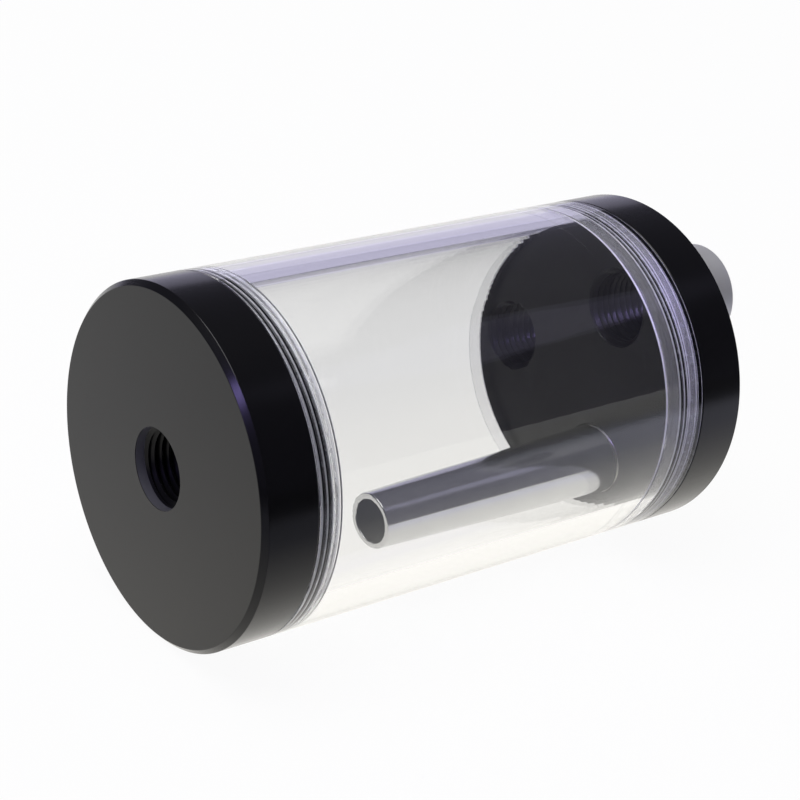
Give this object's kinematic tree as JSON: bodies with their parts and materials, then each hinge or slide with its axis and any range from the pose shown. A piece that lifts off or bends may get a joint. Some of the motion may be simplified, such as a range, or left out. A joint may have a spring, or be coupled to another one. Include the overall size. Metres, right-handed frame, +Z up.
{
  "type": "water cooling reservoir",
  "caption": "Cylindrical cooling-loop reservoir: clear tube between screwed black metal caps, with tapped ports, a stop plug and an inner pipe.",
  "frame": {"origin": "centre of the bounding box in plan, on the surface that the reservoir lies on", "axes": "+X along the cylinder from the single-port cap to the ported cap, +Z up, +Y towards the open port of the ported cap"},
  "size_m": [0.108, 0.06, 0.06],
  "materials": {
    "clear_acrylic": "clear polished acrylic",
    "black_anodised": "black anodised, satin",
    "seal_rubber": "matt",
    "polished_metal": "drawn and polished",
    "collar_brass": "nickel plated",
    "silver_plating": "nickel plated, satin"
  },
  "bodies": {
    "barrel": {"tube": "clear_acrylic"},
    "single_cap_seal": {"single_port_cap_o_ring": "seal_rubber"},
    "single_cap": {"single_port_cap": "black_anodised"},
    "ported_cap_seal": {"three_port_cap_o_ring": "seal_rubber"},
    "ported_cap": {"three_port_cap": "black_anodised", "inner_pipe": "polished_metal", "pipe_collar": "collar_brass"},
    "plug_seal": {"stop_plug_o_ring": "seal_rubber"},
    "plug": {"stop_plug": "silver_plating"}
  },
  "joints": [
    {"name": "single_cap_travel", "type": "slide", "parent": "barrel", "child": "single_cap_seal", "axis": [-1, 0, 0], "range_m": [0, 0.004]},
    {"name": "single_cap_turn", "type": "hinge", "parent": "single_cap_seal", "child": "single_cap", "pos_m": [-0.044, 0, 0.03], "axis": [-1, 0, 0], "range_deg": [0, 1440.1]},
    {"name": "ported_cap_travel", "type": "slide", "parent": "barrel", "child": "ported_cap_seal", "axis": [1, 0, 0], "range_m": [0, 0.004]},
    {"name": "ported_cap_turn", "type": "hinge", "parent": "ported_cap_seal", "child": "ported_cap", "pos_m": [0.036, 0, 0.03], "axis": [1, 0, 0], "range_deg": [0, 1440.1]},
    {"name": "plug_travel", "type": "slide", "parent": "ported_cap", "child": "plug_seal", "axis": [1, 0, 0], "range_m": [0, 0.0024]},
    {"name": "plug_turn", "type": "hinge", "parent": "plug_seal", "child": "plug", "pos_m": [0.046, -0.0085, 0.04472], "axis": [1, 0, 0], "range_deg": [0, 646.3]}
  ],
  "couplings": [
    {"joint": "single_cap_turn", "follows": "single_cap_travel", "rad_per_m": 6283.2},
    {"joint": "ported_cap_turn", "follows": "ported_cap_travel", "rad_per_m": 6283.2},
    {"joint": "plug_turn", "follows": "plug_travel", "rad_per_m": 4699.5}
  ]
}
